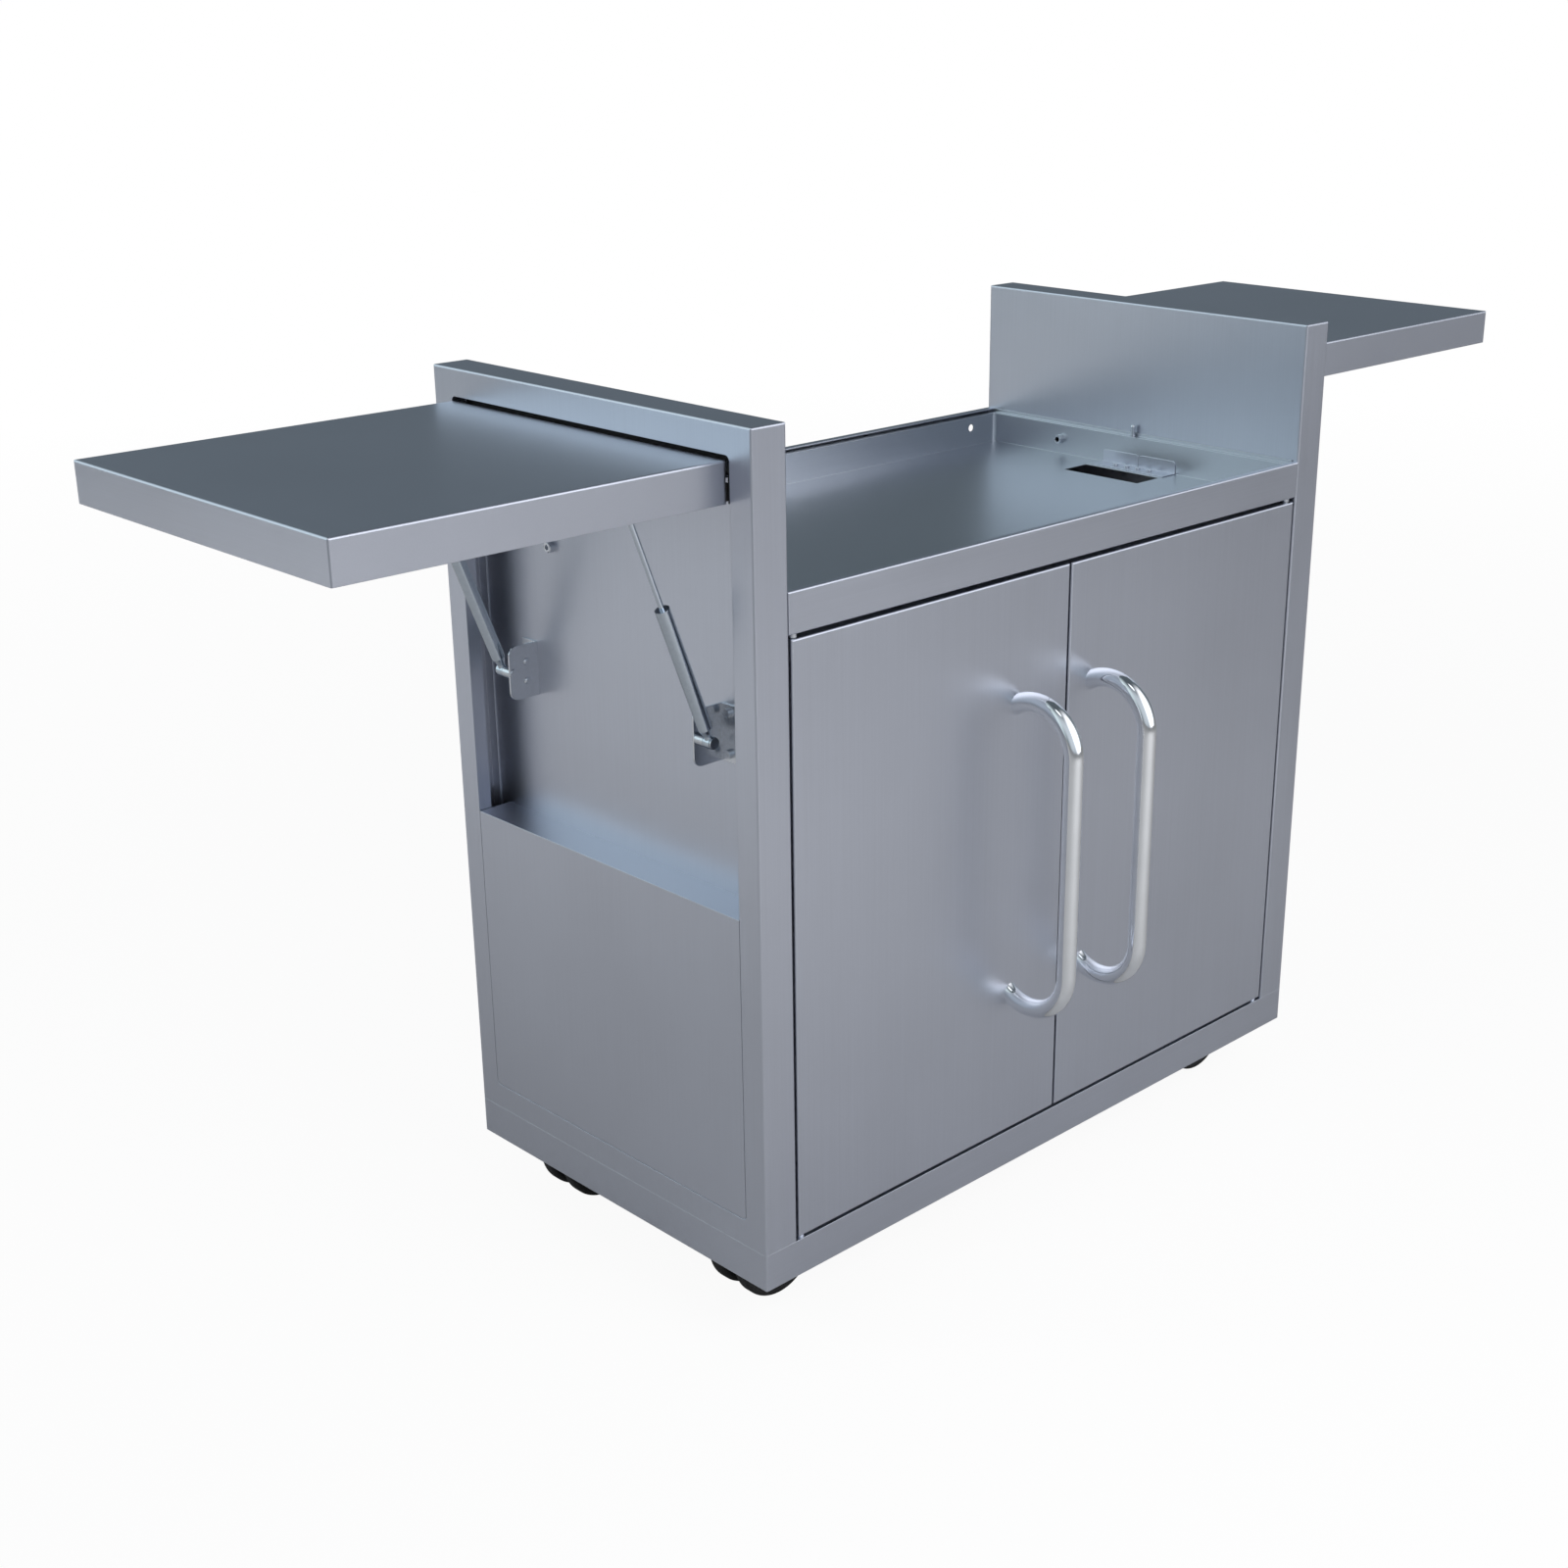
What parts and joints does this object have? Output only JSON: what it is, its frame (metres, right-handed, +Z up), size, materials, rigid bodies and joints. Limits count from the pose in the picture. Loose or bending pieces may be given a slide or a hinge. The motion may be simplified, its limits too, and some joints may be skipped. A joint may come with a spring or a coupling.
{
  "type": "griddle cart",
  "caption": "Folded-steel griddle cart on swivel casters, with a sunk tray between side towers, pivot-hung doors and side shelves that fold down on gas struts.",
  "frame": {"origin": "on the ground, under the middle of the box round the whole cart", "axes": "+X to the right seen from the front, -Y out of the doors, +Z up"},
  "size_m": [1.6494, 0.549, 0.916],
  "materials": {
    "brushed_panel": "brushed",
    "tray_steel": "brushed",
    "chrome_tube": "polished",
    "zinc_hardware": "satin",
    "black_paint": "semi_gloss",
    "black_nylon": "matte",
    "white_nylon": "matte",
    "black_rubber": "matte"
  },
  "bodies": {
    "root": {"left_tower_shell": "brushed_panel", "right_tower_shell": "brushed_panel", "tower_liners": "brushed_panel", "lower_panels": "brushed_panel", "plinth": "brushed_panel", "base_floor": "brushed_panel", "back_panel": "brushed_panel", "front_rail": "brushed_panel", "rear_rail": "brushed_panel", "tray_rests": "brushed_panel", "griddle_tray": "tray_steel", "slot_flaps": "brushed_panel", "flap_screws": "zinc_hardware", "hose_bushing": "zinc_hardware", "locating_pins": "zinc_hardware", "door_pivot_pins": "zinc_hardware", "door_magnets": "black_rubber", "strut_foot_brackets": "zinc_hardware", "bracket_bolts": "zinc_hardware", "strut_foot_studs": "zinc_hardware", "shelf_pivot_pins": "zinc_hardware", "shelf_pivot_washers": "white_nylon", "shelf_bumpers": "black_rubber", "caster_plates": "black_paint", "caster_bolts": "zinc_hardware", "kingpins": "zinc_hardware"},
    "left_door": {"left_door_skin": "brushed_panel", "left_door_liner": "brushed_panel", "left_handle": "chrome_tube", "left_handle_screws": "zinc_hardware", "left_door_bushes": "black_nylon"},
    "right_door": {"right_door_skin": "brushed_panel", "right_door_liner": "brushed_panel", "right_handle": "chrome_tube", "right_handle_screws": "zinc_hardware", "right_door_bushes": "black_nylon"},
    "left_shelf": {"left_shelf_pan": "brushed_panel", "left_shelf_arms": "zinc_hardware", "left_shelf_stiffener": "brushed_panel", "left_shelf_brackets": "zinc_hardware"},
    "left_front_strut_tube": {"left_front_cylinder": "zinc_hardware"},
    "left_front_strut_slider": {"left_front_rod": "chrome_tube"},
    "left_rear_strut_tube": {"left_rear_cylinder": "zinc_hardware"},
    "left_rear_strut_slider": {"left_rear_rod": "chrome_tube"},
    "right_shelf": {"right_shelf_pan": "brushed_panel", "right_shelf_arms": "zinc_hardware", "right_shelf_stiffener": "brushed_panel", "right_shelf_brackets": "zinc_hardware"},
    "right_front_strut_tube": {"right_front_cylinder": "zinc_hardware"},
    "right_front_strut_slider": {"right_front_rod": "chrome_tube"},
    "right_rear_strut_tube": {"right_rear_cylinder": "zinc_hardware"},
    "right_rear_strut_slider": {"right_rear_rod": "chrome_tube"},
    "left_front_swivel": {"left_front_caster": "black_nylon"},
    "left_front_wheel_pair": {"left_front_wheels": "black_rubber"},
    "left_rear_swivel": {"left_rear_caster": "black_nylon"},
    "left_rear_wheel_pair": {"left_rear_wheels": "black_rubber"},
    "right_front_swivel": {"right_front_caster": "black_nylon"},
    "right_front_wheel_pair": {"right_front_wheels": "black_rubber"},
    "right_rear_swivel": {"right_rear_caster": "black_nylon"},
    "right_rear_wheel_pair": {"right_rear_wheels": "black_rubber"}
  },
  "joints": [
    {"name": "left_door_swing", "type": "hinge", "parent": "root", "child": "left_door", "pos_m": [-0.3788, -0.1825, 0.414], "axis": [0, 0, -1], "range_deg": [0, 105]},
    {"name": "right_door_swing", "type": "hinge", "parent": "root", "child": "right_door", "pos_m": [0.3788, -0.1825, 0.414], "axis": [0, 0, 1], "range_deg": [0, 105]},
    {"name": "left_shelf_fold", "type": "hinge", "parent": "root", "child": "left_shelf", "pos_m": [-0.4215, 0.0425, 0.8758], "axis": [0, -1, 0], "range_deg": [0, 90]},
    {"name": "left_front_strut_tilt", "type": "hinge", "parent": "root", "child": "left_front_strut_tube", "pos_m": [-0.4205, -0.1155, 0.6155], "axis": [0, 1, 0], "range_deg": [0, 23.8]},
    {"name": "left_front_strut_slide", "type": "slide", "parent": "left_front_strut_tube", "child": "left_front_strut_slider", "axis": [0.3546, 0, -0.935], "range_m": [0, 0.10138]},
    {"name": "left_rear_strut_tilt", "type": "hinge", "parent": "root", "child": "left_rear_strut_tube", "pos_m": [-0.4205, 0.2005, 0.6155], "axis": [0, 1, 0], "range_deg": [0, 23.8]},
    {"name": "left_rear_strut_slide", "type": "slide", "parent": "left_rear_strut_tube", "child": "left_rear_strut_slider", "axis": [0.3546, 0, -0.935], "range_m": [0, 0.10138]},
    {"name": "right_shelf_fold", "type": "hinge", "parent": "root", "child": "right_shelf", "pos_m": [0.4215, 0.0425, 0.8758], "axis": [0, 1, 0], "range_deg": [0, 90]},
    {"name": "right_front_strut_tilt", "type": "hinge", "parent": "root", "child": "right_front_strut_tube", "pos_m": [0.4205, -0.1155, 0.6155], "axis": [0, -1, 0], "range_deg": [0, 23.8]},
    {"name": "right_front_strut_slide", "type": "slide", "parent": "right_front_strut_tube", "child": "right_front_strut_slider", "axis": [-0.3546, 0, -0.935], "range_m": [0, 0.10138]},
    {"name": "right_rear_strut_tilt", "type": "hinge", "parent": "root", "child": "right_rear_strut_tube", "pos_m": [0.4205, 0.2005, 0.6155], "axis": [0, -1, 0], "range_deg": [0, 23.8]},
    {"name": "right_rear_strut_slide", "type": "slide", "parent": "right_rear_strut_tube", "child": "right_rear_strut_slider", "axis": [-0.3546, 0, -0.935], "range_m": [0, 0.10138]},
    {"name": "left_front_caster_turn", "type": "hinge", "parent": "root", "child": "left_front_swivel", "pos_m": [-0.32, -0.0985, 0.112], "axis": [0, 0, 1], "continuous": true},
    {"name": "left_front_wheel_roll", "type": "hinge", "parent": "left_front_swivel", "child": "left_front_wheel_pair", "pos_m": [-0.354, -0.0985, 0.05], "axis": [0, 1, 0], "continuous": true},
    {"name": "left_rear_caster_turn", "type": "hinge", "parent": "root", "child": "left_rear_swivel", "pos_m": [-0.32, 0.1835, 0.112], "axis": [0, 0, 1], "continuous": true},
    {"name": "left_rear_wheel_roll", "type": "hinge", "parent": "left_rear_swivel", "child": "left_rear_wheel_pair", "pos_m": [-0.354, 0.1835, 0.05], "axis": [0, 1, 0], "continuous": true},
    {"name": "right_front_caster_turn", "type": "hinge", "parent": "root", "child": "right_front_swivel", "pos_m": [0.32, -0.0985, 0.112], "axis": [0, 0, 1], "continuous": true},
    {"name": "right_front_wheel_roll", "type": "hinge", "parent": "right_front_swivel", "child": "right_front_wheel_pair", "pos_m": [0.354, -0.0985, 0.05], "axis": [0, 1, 0], "continuous": true},
    {"name": "right_rear_caster_turn", "type": "hinge", "parent": "root", "child": "right_rear_swivel", "pos_m": [0.32, 0.1835, 0.112], "axis": [0, 0, 1], "continuous": true},
    {"name": "right_rear_wheel_roll", "type": "hinge", "parent": "right_rear_swivel", "child": "right_rear_wheel_pair", "pos_m": [0.354, 0.1835, 0.05], "axis": [0, 1, 0], "continuous": true}
  ],
  "couplings": [
    {"joint": "left_front_strut_tilt", "follows": "left_shelf_fold", "ratio": 0.26442},
    {"joint": "left_front_strut_slide", "follows": "left_shelf_fold", "m_per_rad": 0.064541},
    {"joint": "left_rear_strut_tilt", "follows": "left_shelf_fold", "ratio": 0.26442},
    {"joint": "left_rear_strut_slide", "follows": "left_shelf_fold", "m_per_rad": 0.064541},
    {"joint": "right_front_strut_tilt", "follows": "right_shelf_fold", "ratio": 0.26442},
    {"joint": "right_front_strut_slide", "follows": "right_shelf_fold", "m_per_rad": 0.064541},
    {"joint": "right_rear_strut_tilt", "follows": "right_shelf_fold", "ratio": 0.26442},
    {"joint": "right_rear_strut_slide", "follows": "right_shelf_fold", "m_per_rad": 0.064541}
  ]
}
